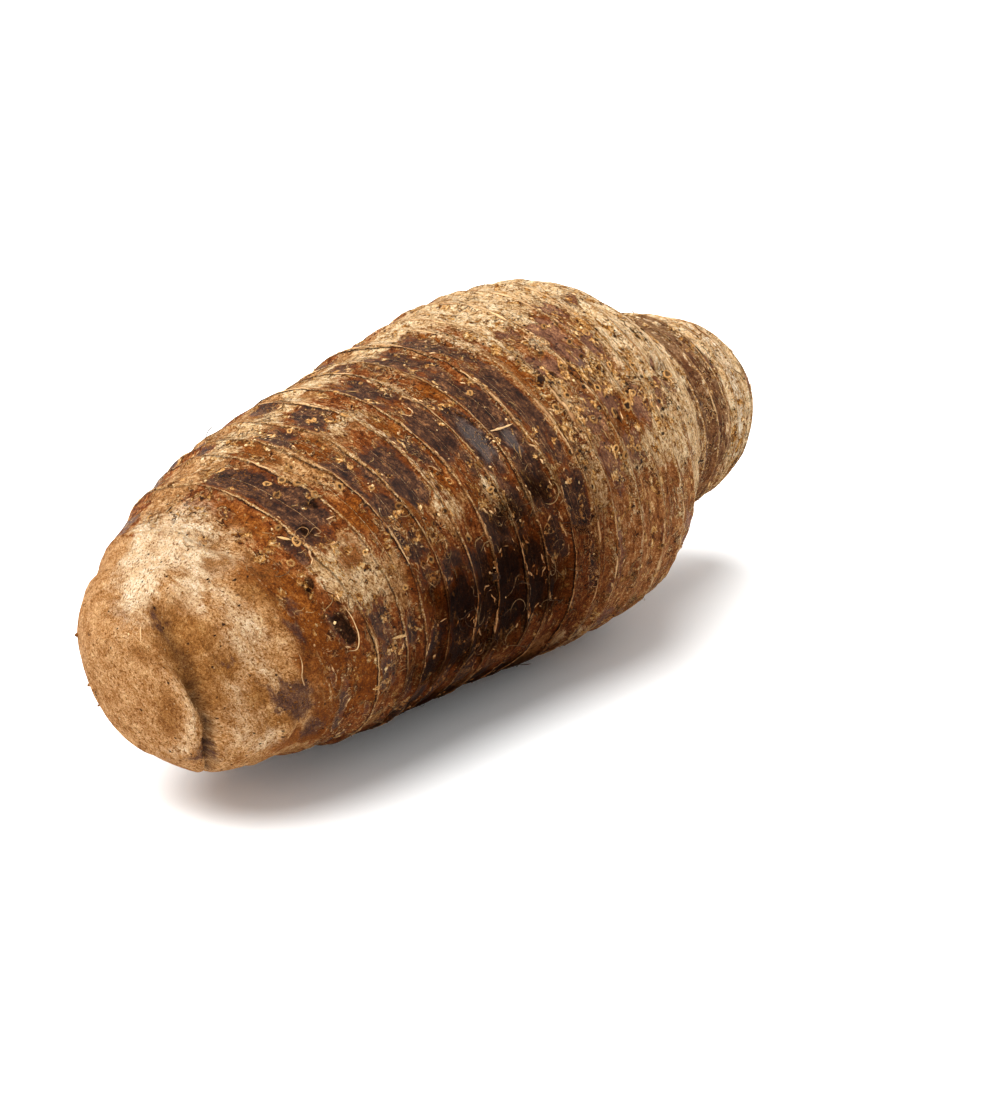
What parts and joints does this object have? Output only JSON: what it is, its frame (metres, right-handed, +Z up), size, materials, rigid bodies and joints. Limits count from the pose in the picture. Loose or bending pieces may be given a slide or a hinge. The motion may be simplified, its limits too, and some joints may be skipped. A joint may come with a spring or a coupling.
{
  "type": "malanga corm",
  "caption": "Whole malanga corm lying on its side: a thick barrel with leaf-scar rings, a pale blunt front end and a narrow knob behind a neck.",
  "frame": {"origin": "on the surface the corm lies on, below the middle of its box", "axes": "+X along the corm from the pale front end to the knob, +Z up, +Y to the side away from the picture's camera"},
  "size_m": [0.24, 0.0976, 0.0979],
  "materials": {
    "bark_skin": "matte"
  },
  "bodies": {
    "root": {"corm": "bark_skin"}
  },
  "joints": []
}
